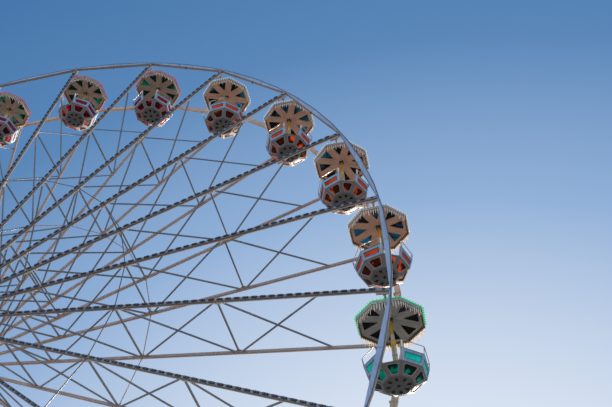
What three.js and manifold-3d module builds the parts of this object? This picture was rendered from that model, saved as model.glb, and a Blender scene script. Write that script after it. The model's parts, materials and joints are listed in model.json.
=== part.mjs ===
// A fairground ferris wheel with umbrella gondolas, in millimetres, +Z up. The origin is on the ground
// under the hub. X runs in the plane of the wheel, Y along its axle, and the boarding side is at -Y.

import * as THREE from 'three';
import { mergeVertices } from 'three/addons/utils/BufferGeometryUtils.js';
import Module from 'manifold-3d';

const wasm = await Module();
wasm.setup();

// Driving dimensions of the wheel.
const gondolaCount = 24;
const firstAngle = -7.5;              // degrees, the first gondola, from +X towards +Z
const hubHeight = 19000;
const rimRadius = 16075;              // to the corners of the rim's outer face
const rimDepth = 65;                  // radial, at a spoke: straight inner faces make it 200 between two
const rimWidth = 120;                 // along the axle
const rimOffset = 1225;               // from the middle plane to the middle of a rim
const rimSides = 72;
const pivotRadius = 15830;
const fit = 0.3;                      // the gap where one piece lies on another
const weld = 5;                       // how far one bar runs into the bar that it is welded to
const clear = 100;                    // how far a cutting shape reaches past what it cuts

// A spoke frame: a near and a far spoke that draw together towards the rim, braced by struts and crosses.
const spokeTube = 90;
const spokeOffsetAtHub = 1248;
const spokeOffsetAtRim = 1230;
const spokeRoot = 620;
const crossRoot = 1300;
const braceRadii = [4040, 7380, 10770, 13960];
const strutTube = 50;
const crossTube = 45;
const crossSetback = 50;              // from a strut to the feet of the crosses beside it
const headLength = 410;
const headHeight = 116;
const headThickness = 170;
const headProud = 2;                  // how far the head stands out past the spoke's outer face

// The hub: a drum with a pair of plates on each side that hold the spokes between them.
const drumRadius = 430;
const plateRadius = 1150;
const plateThickness = 45;
const shaftRadius = 180;
const shaftReach = 2150;              // from the middle of the hub to the end of the shaft
const shaftSides = 16;

// A gondola, measured from its pivot: an axle, an umbrella, a column and a tub with two doorways.
const axleRadius = 42;
const axleReach = 1160;
const axleSides = 8;
const umbrellaRadius = 1045;
const umbrellaEdge = [-160, -95];     // heights of the lower and the upper edge
const umbrellaMiddle = [-25, 115];    // heights of the underside and the top at the column
const umbrellaShoulder = [600, 45];   // radius and height at which the roof turns steeper
const columnRadius = 55;
const tubFloor = [-2415, -2365];      // heights of the underside and the top of the floor
const floorRadius = 445;
const waistRadius = 825;
const waistHeight = -2182;
const panelTopRadius = 935;
const panelTopHeight = -1840;
const panelThickness = 50;
const seatHeight = -2050;
const seatFront = 430;
const doorwayRoot = 344;              // radius at which a doorway's cut begins, inside the bench's front
const doorwayAngle = 39;              // degrees of the tub's eight sides that the two doorways take
const doorPost = 1.5;                 // degrees left standing on each side of a doorway
const doorSill = -2165;
const tubTurns = [                    // degrees from +X to a doorway, for each tub as it stopped
  -94, -64, -70, -67, -138, -82, -97, -98, 0, 90, 0, 90,
  0, 90, -20, -75, -120, -50, -100, -30, -90, -60, -140, -85,
];
const colourGroup = 4;                // neighbouring tubs of one colour
const colourStart = 3;                // tubs of the first group that come before the first gondola

// The towers, the base and the platforms.
const legTube = 420;
const footSpread = 6500;
const footReach = 4600;
const towerTop = 1900;                // from the middle of the hub to the middle of a leg's top
const legTopSpread = 242;
const footPlate = [900, 700, 60];
const towerTies = [6400, 12400];
const tieTube = 260;
const headBlock = [1100, 620, 1000];  // the bearing block on each tower
const beamTube = 400;
const beamLength = 15000;
const sleeperPlaces = [-6500, -2200, 2200, 6500];
const deckLength = 7200;
const deckInner = 1100;
const deckOuter = 4900;
const deckHeight = 800;
const deckThickness = 60;
const joistWidth = 120;
const railHeight = 1100;
const railTube = 60;
const handrailTube = 48;
const railInset = 100;                // from the deck's inner edge to the first posts
const stairWidth = 1900;
const stairSteps = 5;
const stairRun = 290;
const stairDepth = 250;               // under the top step
const stairHeel = 406;                // along the ground, from the first riser to the flight's back edge

const paint = (colour, roughness = 0.45, metalness = 0.1) =>
  new THREE.MeshStandardMaterial({ color: colour, roughness, metalness, flatShading: true });
const steelBlue = paint(0x9fb0c8);
const tan = paint(0xa08a78);
const white = paint(0xd8dade);
const dark = paint(0x50555c, 0.6, 0.3);
const deckGrey = paint(0x8c8f90, 0.7, 0.2);
const tubColours = [0x2f9a8c, 0xd2532a, 0xa3123a];

// A closed geometry as a solid that can be joined and cut.
function solid(geometry) {
  const bare = geometry.index ? geometry.toNonIndexed() : geometry.clone();
  bare.deleteAttribute('normal');
  bare.deleteAttribute('uv');
  const merged = mergeVertices(bare, 0.01);
  const triangles = [];
  for (let i = 0; i < merged.index.count; i += 3) {
    const [a, b, c] = [0, 1, 2].map((n) => merged.index.getX(i + n));
    if (a !== b && b !== c && c !== a) triangles.push(a, b, c);
  }
  return new wasm.Manifold(new wasm.Mesh({
    numProp: 3,
    vertProperties: new Float32Array(merged.attributes.position.array),
    triVerts: new Uint32Array(triangles),
  }));
}

const join = (solids) => solids.reduce((whole, next) => whole.add(next));

// A named mesh of a solid.
function piece(name, whole, material) {
  const { vertProperties, triVerts } = whole.getMesh();
  const geometry = new THREE.BufferGeometry();
  geometry.setAttribute('position', new THREE.BufferAttribute(vertProperties, 3));
  geometry.setIndex(new THREE.BufferAttribute(triVerts, 1));
  geometry.computeVertexNormals();
  const mesh = new THREE.Mesh(geometry, material);
  mesh.name = name;
  return mesh;
}

// A block from its middle and its sizes.
function block(middle, sizes) {
  return solid(new THREE.BoxGeometry(...sizes).translate(...middle));
}

// A straight square bar between two points. One side of its section faces along the given direction.
function bar(from, to, width, depth, facing = new THREE.Vector3(0, 0, 1)) {
  const along = to.clone().sub(from);
  const length = along.length();
  const x = along.normalize();
  const y = facing.clone().cross(x).normalize();
  const z = x.clone().cross(y);
  const geometry = new THREE.BoxGeometry(length, width, depth);
  geometry.applyMatrix4(new THREE.Matrix4().makeBasis(x, y, z));
  const middle = from.clone().add(to).multiplyScalar(0.5);
  return solid(geometry.translate(middle.x, middle.y, middle.z));
}

// A prism with a regular outline along Y, turned by the angle given about its own axis.
function prismY(radius, from, to, sides, turn = 0) {
  const geometry = new THREE.CylinderGeometry(radius, radius, to - from, sides);
  return solid(geometry.rotateY(turn).translate(0, (from + to) / 2, 0));
}

const point = (x, y, z) => new THREE.Vector3(x, y, z);
const lathe = (profile, sides) =>
  new THREE.LatheGeometry(profile.map(([r, h]) => new THREE.Vector2(r, h)), sides);

// The spoke's middle line at a radius. Its head ends where its edges would touch the rim's inner faces,
// which meet at an angle over its middle.
const spokeOffset = (radius) =>
  spokeOffsetAtHub + (spokeOffsetAtRim - spokeOffsetAtHub) * radius / rimRadius;
const headEnd = rimRadius - rimDepth - fit - headHeight / 2 * Math.tan(Math.PI / gondolaCount);
const headFace = spokeOffset(headEnd - headLength) + spokeTube / 2 + headProud;

// Two flat-sided braces that cross between the spokes, from one radius to another, as one plate-like web.
function cross(start, end) {
  const [low, high] = [spokeOffset(start), spokeOffset(end)];
  const slope = Math.atan2(low + high, end - start);
  const half = crossTube / 2;
  const middle = start + (end - start) * low / (low + high);
  const [across, along] = [half * Math.sin(slope), half * Math.cos(slope)];
  const upper = [
    [middle + half / Math.sin(slope), 0],
    [end + across, high - along], [end - across, high + along],
    [middle, half / Math.cos(slope)],
    [start + across, low + along], [start - across, low - along],
    [middle - half / Math.sin(slope), 0],
  ];
  const lower = upper.slice(1, 6).reverse().map(([x, y]) => [x, -y]);
  const outline = new THREE.Shape([...upper, ...lower].map(([x, y]) => new THREE.Vector2(x, y)));
  const web = new THREE.ExtrudeGeometry(outline, { depth: crossTube, bevelEnabled: false });
  return solid(web.translate(0, 0, -half));
}

// One spoke frame along +X from the hub's middle.
function spokeFrame() {
  const parts = [];
  const headMiddle = headFace - headThickness / 2;
  for (const side of [-1, 1]) {
    const from = point(spokeRoot, side * spokeOffset(spokeRoot), 0);
    const tip = headEnd - weld;
    const to = point(tip, side * spokeOffset(tip), 0);
    parts.push(bar(from, to, spokeTube, spokeTube));
    const middle = headEnd - headLength / 2;
    parts.push(block([middle, side * headMiddle, 0], [headLength, headThickness, headHeight]));
  }
  for (const radius of braceRadii.slice(0, 3)) {
    const reach = spokeOffset(radius);
    parts.push(bar(point(radius, -reach, 0), point(radius, reach, 0), strutTube, strutTube));
  }
  braceRadii.forEach((outer, bay) => {
    const start = bay === 0 ? crossRoot : braceRadii[bay - 1] + crossSetback;
    parts.push(cross(start, outer - crossSetback));
  });
  const boreRadius = (axleRadius + fit) / Math.cos(Math.PI / axleSides);
  const bore = prismY(boreRadius, -headFace - clear, headFace + clear, axleSides, Math.PI / axleSides);
  return join(parts).subtract(bore.translate([pivotRadius, 0, 0]));
}

// One rim: a ring on the ends of the spokes' heads, round outside and straight inside from one spoke
// to the next.
function rim() {
  const inner = rimOffset - rimWidth / 2;
  const outer = rimOffset + rimWidth / 2;
  const ring = prismY(rimRadius, inner, outer, rimSides);
  const innerRadius = rimRadius - rimDepth;
  const hole = prismY(innerRadius, inner - clear, outer + clear, gondolaCount, Math.PI / gondolaCount);
  return ring.subtract(hole);
}

// The hub, turned about its shaft.
function hub() {
  const grooveInner = spokeOffset(plateRadius) - spokeTube / 2 - fit;
  const grooveOuter = spokeOffset(spokeRoot) + spokeTube / 2 + fit;
  const half = [
    [shaftRadius, shaftReach],
    [shaftRadius, grooveOuter + plateThickness],
    [plateRadius, grooveOuter + plateThickness],
    [plateRadius, grooveOuter],
    [drumRadius, grooveOuter],
    [drumRadius, grooveInner],
    [plateRadius, grooveInner],
    [plateRadius, grooveInner - plateThickness],
    [drumRadius, grooveInner - plateThickness],
  ];
  const lower = half.map(([r, y]) => [r, -y]);
  return solid(lathe([[0, -shaftReach], ...lower, ...half.reverse(), [0, shaftReach]], shaftSides));
}

// The tub's eight corners: two narrow sides for the doorways and three panels on each side between them.
const panelAngle = (360 - 2 * doorwayAngle) / 6;
const cornerAngles = [0, 1, 2, 3, 4, 5, 6, 7, 8].map((corner) =>
  -doorwayAngle / 2 + corner * panelAngle + Math.ceil(corner / 4) * (doorwayAngle - panelAngle));

// A turned shape with the tub's eight corners.
function tubShape(profile) {
  const geometry = lathe(profile, 8);
  const position = geometry.attributes.position;
  profile.forEach(([radius, height], step) => {
    cornerAngles.forEach((angle, corner) => {
      const turn = THREE.MathUtils.degToRad(angle);
      const index = corner * profile.length + step;
      position.setXYZ(index, radius * Math.sin(turn), height, radius * Math.cos(turn));
    });
  });
  return solid(geometry.rotateX(Math.PI / 2).rotateZ(Math.PI / 2));
}

// The tub, with its sunk floor, the bench around it and a doorway at each end of its own X axis.
function tub() {
  const lean = (panelTopRadius - waistRadius) / (panelTopHeight - waistHeight);
  const seatBack = waistRadius + lean * (seatHeight - waistHeight) - panelThickness;
  const shell = tubShape([
    [0, tubFloor[0]], [floorRadius, tubFloor[0]], [waistRadius, waistHeight],
    [panelTopRadius, panelTopHeight], [panelTopRadius - panelThickness, panelTopHeight],
    [seatBack, seatHeight], [seatFront, seatHeight], [seatFront, tubFloor[1]], [0, tubFloor[1]],
  ]);
  const half = Math.tan(THREE.MathUtils.degToRad(doorwayAngle / 2 - doorPost));
  const far = panelTopRadius + clear;
  const outline = new THREE.Shape([
    new THREE.Vector2(doorwayRoot, -doorwayRoot * half), new THREE.Vector2(far, -far * half),
    new THREE.Vector2(far, far * half), new THREE.Vector2(doorwayRoot, doorwayRoot * half),
  ]);
  const depth = panelTopHeight - doorSill + clear;
  const doorway = solid(new THREE.ExtrudeGeometry(outline, { depth, bevelEnabled: false }));
  const cut = doorway.translate([0, 0, doorSill]);
  return shell.subtract(cut).subtract(cut.rotate([0, 0, 180]));
}

// A whole gondola about its pivot, with its tub turned on the column and its axle's edges turned so
// that they face the flats of the bores that hold it.
function gondola(turn, axleTurn) {
  const umbrella = lathe([
    [0, umbrellaMiddle[0]], [umbrellaRadius, umbrellaEdge[0]],
    [umbrellaRadius, umbrellaEdge[1]], umbrellaShoulder, [0, umbrellaMiddle[1]],
  ], 8).rotateY(Math.PI / 8).rotateX(Math.PI / 2);
  const columnLength = weld - tubFloor[1];
  const column = new THREE.CylinderGeometry(columnRadius, columnRadius, columnLength, axleSides);
  return join([
    solid(umbrella),
    prismY(axleRadius, -axleReach, axleReach, axleSides, axleTurn),
    solid(column.rotateX(Math.PI / 2).translate(0, 0, -columnLength / 2)),
    tub().rotate([0, 0, turn]),
  ]);
}

// A tower on the side given: two legs from the base up to a bearing block, tied across twice.
function tower(side) {
  const blockInner = towerTop - headBlock[1] / 2;
  const parts = [block([0, side * towerTop, hubHeight], headBlock)];
  const foot = (x) => point(x * footSpread, side * footReach, beamTube + fit);
  const top = (x) => point(x * legTopSpread, side * towerTop, hubHeight);
  for (const x of [-1, 1]) {
    parts.push(bar(foot(x), top(x), legTube, legTube, point(0, 1, 0)));
    parts.push(block([x * footSpread, side * footReach, beamTube + fit + footPlate[2] / 2], footPlate));
  }
  for (const height of towerTies) {
    const share = (height - beamTube) / (hubHeight - beamTube);
    const at = (x) => foot(x).lerp(top(x), share);
    parts.push(bar(at(-1), at(1), tieTube, tieTube));
  }
  const trim = [2 * footSpread + 4 * legTube, 4 * legTube, 2 * legTube];
  const below = block([0, side * footReach, beamTube + fit - trim[2] / 2], trim);
  const boreRadius = (shaftRadius + fit) / Math.cos(Math.PI / shaftSides);
  const boreEnd = towerTop + headBlock[1] / 2 + clear;
  const bore = prismY(boreRadius, blockInner - clear, boreEnd, shaftSides, Math.PI / shaftSides);
  const placed = (side > 0 ? bore : bore.mirror([0, 1, 0])).translate([0, 0, hubHeight]);
  return join(parts).subtract(below).subtract(placed);
}

// The base: two long beams under the towers' feet and four sleepers across, under the wheel.
function baseFrame() {
  const middle = beamTube / 2;
  const beams = [-1, 1].map((side) =>
    block([0, side * footReach, middle], [beamLength, beamTube, beamTube]));
  const sleepers = sleeperPlaces.map((x) =>
    block([x, 0, middle], [beamTube, 2 * footReach, beamTube]));
  return join([...beams, ...sleepers]);
}

// A boarding platform on the side given: a deck on two joists, with posts and rails round its outside.
function platform(side) {
  const depth = deckOuter - deckInner;
  const middle = side * (deckInner + deckOuter) / 2;
  const deckLow = deckHeight - deckThickness;
  const parts = [block([0, middle, deckHeight - deckThickness / 2], [deckLength, depth, deckThickness])];
  const joistLow = beamTube + fit;
  for (const x of sleeperPlaces.slice(1, 3)) {
    const height = deckLow - joistLow + weld;
    parts.push(block([x, middle, joistLow + height / 2], [joistWidth, depth, height]));
  }
  const edge = side * (deckOuter - railTube / 2);
  const edgeHeight = deckLow - beamTube + weld;
  const edgeBeam = [deckLength - 2 * railInset, railTube, edgeHeight];
  parts.push(block([0, edge, beamTube + edgeHeight / 2], edgeBeam));
  const end = deckLength / 2 - railTube;
  const outer = side * (deckOuter - railTube);
  const inner = side * (deckInner + railInset);
  const gap = stairWidth / 2 + railTube / 2;
  const posts = [[end, inner], [end, middle], [end, outer], [(end + gap) / 2, outer], [gap, outer]];
  for (const x of [-1, 1]) {
    for (const [along, y] of posts) {
      const height = railHeight + weld;
      parts.push(block([x * along, y, deckHeight + railHeight - height / 2], [railTube, railTube, height]));
    }
    for (const height of [railHeight - railTube / 2, railHeight / 2]) {
      const z = deckHeight + height;
      const corner = point(x * end, outer, z);
      parts.push(bar(point(x * end, inner, z), corner, handrailTube, handrailTube));
      parts.push(bar(corner, point(x * gap, outer, z), handrailTube, handrailTube));
    }
  }
  return join(parts);
}

// A flight of steps up to the platform on the side given, cut out under its treads.
function stair(side) {
  const rise = deckHeight / stairSteps;
  const outline = new THREE.Shape();
  outline.moveTo(0, 0);
  for (let step = 1; step < stairSteps; step += 1) {
    outline.lineTo(stairRun * (step - 1), rise * step);
    outline.lineTo(stairRun * step, rise * step);
  }
  const back = stairRun * (stairSteps - 1);
  outline.lineTo(back, rise * (stairSteps - 1) - stairDepth);
  outline.lineTo(stairHeel, 0);
  const geometry = new THREE.ExtrudeGeometry(outline, { depth: stairWidth, bevelEnabled: false });
  geometry.rotateX(Math.PI / 2).rotateZ(Math.PI / 2);
  const flight = solid(geometry.translate(-stairWidth, -deckOuter - fit - back, 0));
  const placed = flight.translate([stairWidth / 2, 0, 0]);
  return side < 0 ? placed : placed.mirror([0, 1, 0]);
}

const ferrisWheel = new THREE.Group();
const wheel = new THREE.Group();
wheel.position.set(0, 0, hubHeight);
ferrisWheel.add(wheel);

wheel.add(piece('hub', hub(), dark));
const farRim = rim();
wheel.add(piece('far_rim', farRim, tan));
wheel.add(piece('near_rim', farRim.mirror([0, 1, 0]), steelBlue));

const frameSolid = spokeFrame();
for (let number = 0; number < gondolaCount; number += 1) {
  const label = String(number + 1).padStart(2, '0');
  const angle = THREE.MathUtils.degToRad(firstAngle + number * 360 / gondolaCount);
  const frame = piece(`spoke_frame_${label}`, frameSolid, tan);
  frame.rotation.y = -angle;
  wheel.add(frame);
  const group = Math.floor((number + colourStart) / colourGroup) % tubColours.length;
  const cabin = piece(`gondola_${label}`, gondola(tubTurns[number], -angle), paint(tubColours[group]));
  cabin.position.set(pivotRadius * Math.cos(angle), 0, pivotRadius * Math.sin(angle));
  wheel.add(cabin);
}

ferrisWheel.add(piece('base_frame', baseFrame(), white));
for (const [name, side] of [['near', -1], ['far', 1]]) {
  ferrisWheel.add(piece(`${name}_tower`, tower(side), white));
  ferrisWheel.add(piece(`${name}_platform`, platform(side), deckGrey));
  ferrisWheel.add(piece(`${name}_stair`, stair(side), deckGrey));
}

export default ferrisWheel;
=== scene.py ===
import json

import bpy
import numpy as np
from mathutils import Matrix, Vector


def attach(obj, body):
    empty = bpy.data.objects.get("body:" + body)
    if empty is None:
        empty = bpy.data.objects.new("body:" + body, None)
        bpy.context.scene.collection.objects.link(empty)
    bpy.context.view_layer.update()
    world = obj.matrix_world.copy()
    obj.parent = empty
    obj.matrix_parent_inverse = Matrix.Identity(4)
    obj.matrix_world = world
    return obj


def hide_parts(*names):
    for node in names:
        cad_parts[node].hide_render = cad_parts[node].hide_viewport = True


# A fairground ferris wheel with umbrella gondolas. Metres, +Z up, the hub 19 m above the ground.
# X runs in the plane of the wheel, and the boarding side is at -Y.
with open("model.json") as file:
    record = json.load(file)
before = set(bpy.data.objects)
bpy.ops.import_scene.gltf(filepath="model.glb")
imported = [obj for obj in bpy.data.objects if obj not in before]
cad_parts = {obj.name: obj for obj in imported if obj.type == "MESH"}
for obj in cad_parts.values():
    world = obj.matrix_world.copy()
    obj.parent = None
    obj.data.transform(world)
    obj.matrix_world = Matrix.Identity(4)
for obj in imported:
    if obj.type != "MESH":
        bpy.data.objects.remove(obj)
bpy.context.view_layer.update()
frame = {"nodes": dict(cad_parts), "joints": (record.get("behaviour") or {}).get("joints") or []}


# The view: a standing eye 1.9 m above the ground, in front of the wheel and to the right of its
# hub, looking steeply up at the upper right of the rim.
eye = [16.791, -17.074, 1.930]
yaw, pitch, roll = np.radians([-11.826, 50.310, -1.098])
sight = np.array([np.sin(yaw) * np.cos(pitch), np.cos(yaw) * np.cos(pitch), np.sin(pitch)])
level = np.cross(sight, [0, 0, 1]) / np.cos(pitch)
over = np.cross(level, sight)
camera = bpy.data.objects.new("fairground_view", bpy.data.cameras.new("fairground_view"))
camera.data.sensor_width = 36
camera.data.lens = 44.43
camera.data.clip_end = 500
placing = np.eye(4)
placing[:3, 0] = np.cos(roll) * level + np.sin(roll) * over
placing[:3, 1] = np.cos(roll) * over - np.sin(roll) * level
placing[:3, 2] = -sight
placing[:3, 3] = eye
camera.matrix_world = Matrix(placing)
bpy.context.scene.collection.objects.link(camera)
bpy.context.scene.camera = camera

# The light: a strong low warm lamp behind the wheel, a weak one from the front, and a surround that
# is pale towards the strong lamp and all round the horizon, and deep blue overhead and in front. The
# pale floor throws warm light up under the umbrellas.
def adder(tree):
    """A function that adds a node to a tree, with its sockets and options, and gives one of its
    outputs. A colour is a socket or a red, green and blue triple."""
    def add(kind, sockets=(), options=(), output=0):
        node = tree.nodes.new("ShaderNode" + kind)
        for key, value in dict(options).items():
            setattr(node, key, value)
        for key, value in dict(sockets).items():
            socket = node.inputs[key]
            if isinstance(value, bpy.types.NodeSocket):
                tree.links.new(value, socket)
            else:
                socket.default_value = (*value, 1) if socket.type == "RGBA" else value
        return node.outputs[output] if node.outputs else node

    return add


def blend(add, share, first, second):
    """A colour between two others."""
    return add("Mix", {0: share, 6: first, 7: second}, {"data_type": "RGBA"}, output=2)


def ramp(add, value, low, high, to_low=0.0, to_high=1.0):
    """A value's share of the way between two levels, or what lies there between two others."""
    return add("MapRange", {"Value": value, "From Min": low, "From Max": high,
                            "To Min": to_low, "To Max": to_high})


surround = bpy.data.worlds.new("pale_surround")
surround.use_nodes = True
around = surround.node_tree
add_sky = adder(around)
direction = add_sky("TexCoord", output="Generated")
sunward = (-0.048, 1, 0.144)
nearness = add_sky("VectorMath", {0: direction, 1: sunward}, {"operation": "DOT_PRODUCT"}, output="Value")
sky = add_sky("ValToRGB", {0: nearness})
stops = sky.node.color_ramp.elements
stops[0].position, stops[0].color = 0.452, (0.063, 0.185, 0.411, 1)
stops[1].position, stops[1].color = 0.906, (0.678, 0.757, 0.881, 1)
stops.new(0.603).color = (0.104, 0.244, 0.484, 1)
stops.new(0.755).color = (0.287, 0.440, 0.688, 1)
height = add_sky("SeparateXYZ", {0: direction}, output="Z")
hazy = blend(add_sky, ramp(add_sky, height, 0.5, 0.2), sky, (0.70, 0.76, 0.86))
around.links.new(hazy, around.nodes["Background"].inputs["Color"])
bpy.context.scene.world = surround


def far_lamp(name, towards, colour, strength, width):
    """A distant lamp in the direction given, as wide as the angle given, in degrees."""
    lamp = bpy.data.objects.new(name, bpy.data.lights.new(name, "SUN"))
    lamp.data.color, lamp.data.energy, lamp.data.angle = colour, strength, np.radians(width)
    lamp.rotation_mode = "QUATERNION"
    lamp.rotation_quaternion = Vector(towards).to_track_quat("Z", "Y")
    bpy.context.scene.collection.objects.link(lamp)


far_lamp("low_warm_light", (0.08, 0.97, 0.19), (1.0, 0.86, 0.70), 12.0, 2)
far_lamp("front_fill", (-0.3, -1.0, 0.25), (0.80, 0.90, 1.0), 0.5, 60)

ground = bpy.data.meshes.new("floor")
ground.from_pydata([(-150, -150, 0), (150, -150, 0), (150, 150, 0), (-150, 150, 0)], [], [(0, 1, 2, 3)])
ground.materials.append(bpy.data.materials.new("pale_floor"))
ground.materials[0].use_nodes = True
ground_shader = ground.materials[0].node_tree.nodes["Principled BSDF"]
ground_shader.inputs["Base Color"].default_value = (0.38, 0.32, 0.27, 1)
ground_shader.inputs["Roughness"].default_value = 1.0
ground_shader.inputs["Specular IOR Level"].default_value = 0.1
floor = bpy.data.objects.new("floor", ground)
bpy.context.scene.collection.objects.link(floor)


# The rims: two rings of welded steel plate, round outside and straight inside from spoke to spoke,
# sprayed in light blue-grey on the front faces and in warm tan on the sides.
def shader(name):
    """An empty material, the function that adds its nodes, and its Object coordinates."""
    material = bpy.data.materials.new(name)
    material.use_nodes = True
    material.node_tree.nodes.clear()
    add = adder(material.node_tree)
    return material, add, add("TexCoord", output="Object")


def noise(add, place, scale, detail=2.0):
    """Noise over places, with so many waves to a metre and so many finer layers."""
    return add("TexNoise", {"Vector": place, "Scale": scale, "Detail": detail})


def steel_paint(name, colour, front=None, roughness=0.42, metallic=0.0, rounding=0.01, depths=()):
    """Sprayed paint on steel. Slow noise drifts its shade, noise stretched upright leaves rain
    streaks, and where the normal rounded over the edges leaves the flat one, it is worn through.
    Depths, pairs of a place along Y and a colour, give what lies nearer than that place its own."""
    material, add, place = shader(name)
    shade = colour
    if front:
        facing = add("SeparateXYZ", {0: add("TexCoord", output="Normal")}, output="Y")
        shade = blend(add, ramp(add, facing, -0.4, -0.8), colour, front)
    for end, nearer in depths:
        depth = add("SeparateXYZ", {0: place}, output="Y")
        shade = blend(add, ramp(add, depth, end, end - 0.002), shade, nearer)
    drift = noise(add, place, 0.8, 3.0)
    dark = add("HueSaturation", {"Color": shade, "Value": 0.8, "Saturation": 1.1})
    shade = blend(add, ramp(add, drift, 0.35, 0.7), shade, dark)
    tall = add("Mapping", {"Vector": place, "Scale": (9, 9, 0.9)})
    grime = ramp(add, noise(add, tall, 1.5, 5.0), 0.54, 0.76, to_high=0.55)
    shade = blend(add, grime, shade, (0.10, 0.085, 0.07))
    rounded = add("Bevel", {"Radius": rounding}, {"samples": 4})
    flat = add("NewGeometry", output="Normal")
    turn = add("VectorMath", {0: rounded, 1: flat}, {"operation": "DOT_PRODUCT"}, output="Value")
    edge = ramp(add, turn, 0.985, 0.86)
    patch = noise(add, place, 14.0, 5.0)
    worn = add("Math", {0: edge, 1: ramp(add, patch, 0.48, 0.60, to_high=0.8)}, {"operation": "MULTIPLY"})
    shade = blend(add, worn, shade, (0.20, 0.17, 0.15))
    gloss = ramp(add, patch, 0, 1, roughness - 0.1, roughness + 0.16)
    grain = noise(add, place, 160.0)
    bump = add("Bump", {"Height": grain, "Strength": 0.08, "Distance": 0.002, "Normal": rounded})
    surface = add("BsdfPrincipled", {"Base Color": shade, "Roughness": gloss, "Normal": bump,
                                     "Metallic": metallic})
    add("OutputMaterial", {"Surface": surface})
    return material


def dress(names, finish):
    """Gives a finish to nodes of the frame."""
    for name in names:
        for holder in frame["nodes"][name].material_slots:
            holder.material = finish


rim_front = (0.375, 0.515, 0.71)
rim_blue = steel_paint("rim_blue_paint", (0.32, 0.265, 0.23), rim_front)
rim_tan = steel_paint("rim_tan_paint", (0.64, 0.48, 0.38))
dress(["near_rim"], rim_blue)
dress(["far_rim"], rim_tan)


# The rim's joints: at each mid-bay a pair of bolted flange plates, and at each spoke's head a steel
# backing plate on the rim's face with three bolts. They are galvanised and painted over.
def loft(rings, closed=False):
    """Skins of like shapes at once, from rings (shapes, steps, points, 3): quads join each outline to
    the next. An open run gets a flat face at each end, and a closed one joins its last outline to its
    first. A shape whose volume, summed over its faces' tetrahedra, is negative is turned round."""
    rings = np.asarray(rings, float)
    shapes, steps, around = rings.shape[:3]
    index = np.arange(shapes * steps * around).reshape(shapes, steps, around)
    low = index if closed else index[:, :-1]
    high = np.roll(index, -1, 1) if closed else index[:, 1:]
    quads = np.stack([low, np.roll(low, -1, 2), np.roll(high, -1, 2), high], -1)
    faces = [quads.reshape(shapes, -1, 4)]
    if not closed:
        faces += [index[:, :1, ::-1], index[:, -1:]]
    points = rings.reshape(-1, 3)
    middle = rings.mean((1, 2))[:, None, None]
    volume = 0
    for group in faces:
        corner = points[group] - middle
        volume = volume + (corner[:, :, :1] * np.cross(corner[:, :, 1:-1], corner[:, :, 2:])).sum((1, 2, 3))
    turned = (volume < 0)[:, None, None]
    faces = [np.where(turned, group[..., ::-1], group).reshape(-1, group.shape[-1]) for group in faces]
    return points, faces


def gather(*skins):
    """Several skins as one."""
    starts = np.cumsum([0] + [len(points) for points, _ in skins])
    faces = [group + start for (_, faces), start in zip(skins, starts) for group in faces]
    return np.concatenate([points for points, _ in skins]), faces


def repeated(skin, turns, places=(0, 0, 0)):
    """A skin once for each turn, a matrix whose rows say where its axes go, and each place."""
    points, faces = skin
    turns, places = np.asarray(turns, float), np.asarray(places, float)
    copies = points @ turns + np.broadcast_to(places, (len(turns), 3))[:, None]
    starts = len(points) * np.arange(len(turns))[:, None, None]
    return copies.reshape(-1, 3), [(group + starts).reshape(-1, group.shape[1]) for group in faces]


def unit(vectors):
    """Vectors scaled to a length of one."""
    return vectors / np.linalg.norm(vectors, axis=-1, keepdims=True)


def run(paths, facing, section, swell=1.0, closed=False):
    """A section (points, 2) carried along paths (shapes, steps, 3). Its first axis is the direction
    facing, squared to the path, its second is square to both, and swell scales it at each step."""
    paths = np.asarray(paths, float)
    if closed:
        ahead = unit(np.roll(paths, -1, 1) - np.roll(paths, 1, 1))
    else:
        ahead = unit(np.gradient(paths, axis=1))
    facing = np.broadcast_to(facing, paths.shape)
    first = unit(facing - (facing * ahead).sum(-1, keepdims=True) * ahead)
    second = np.cross(ahead, first)
    swell = np.broadcast_to(swell, paths.shape[1])[:, None, None]
    offset = section[:, :1] * first[:, :, None] + section[:, 1:] * second[:, :, None]
    return loft(paths[:, :, None] + swell * offset, closed)


def bars(start, end, facing, section, chamfer=0.003):
    """Straight bars of a section, with chamfered ends: four outlines each, the end ones drawn in."""
    start, end = np.broadcast_arrays(np.atleast_2d(start).astype(float), np.atleast_2d(end))
    length = np.linalg.norm(end - start, axis=-1)[:, None, None]
    cut = np.minimum(chamfer / length, 0.3)
    share = np.concatenate([0 * cut, cut, 1 - cut, 1 + 0 * cut], 1)
    drawn = 1 - chamfer / np.abs(section).max()
    facing = np.broadcast_to(np.atleast_2d(facing), start.shape)[:, None]
    return run(start[:, None] + share * (end - start)[:, None], facing, section, [drawn, 1, 1, drawn])


def square(width, height, corner=0.004):
    """A rectangle's outline with its four corners cut."""
    x, y = width / 2, height / 2
    a, b = x - corner, y - corner
    return np.array([[a, -y], [x, -b], [x, b], [a, y], [-a, y], [-x, b], [-x, -b], [-a, -y]])


def circle(radius, sides=12):
    """A regular outline: the cosine and the sine of equal angles."""
    angle = 2 * np.pi * (np.arange(sides) + 0.5) / sides
    return radius * np.stack([np.cos(angle), np.sin(angle)], 1)


def piece(name, body, slot, finish, skin, replaces=(), crease=35):
    """A skin as a named object that rides on a body of the frame."""
    points, faces = skin
    mesh = bpy.data.meshes.new(name)
    mesh.from_pydata(points, [], [face for group in faces for face in group.tolist()])
    mesh.validate()
    mesh.shade_smooth()
    mesh.set_sharp_from_angle(angle=np.radians(crease))
    mesh.materials.append(finish)
    made = bpy.data.objects.new(name, mesh)
    bpy.context.scene.collection.objects.link(made)
    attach(made, body)
    if replaces:
        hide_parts(*replaces)
    return made


hub_height = 19.0
spokes = 24
spoke_angles = np.radians(-7.5 + 360 / spokes * np.arange(spokes))


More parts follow.
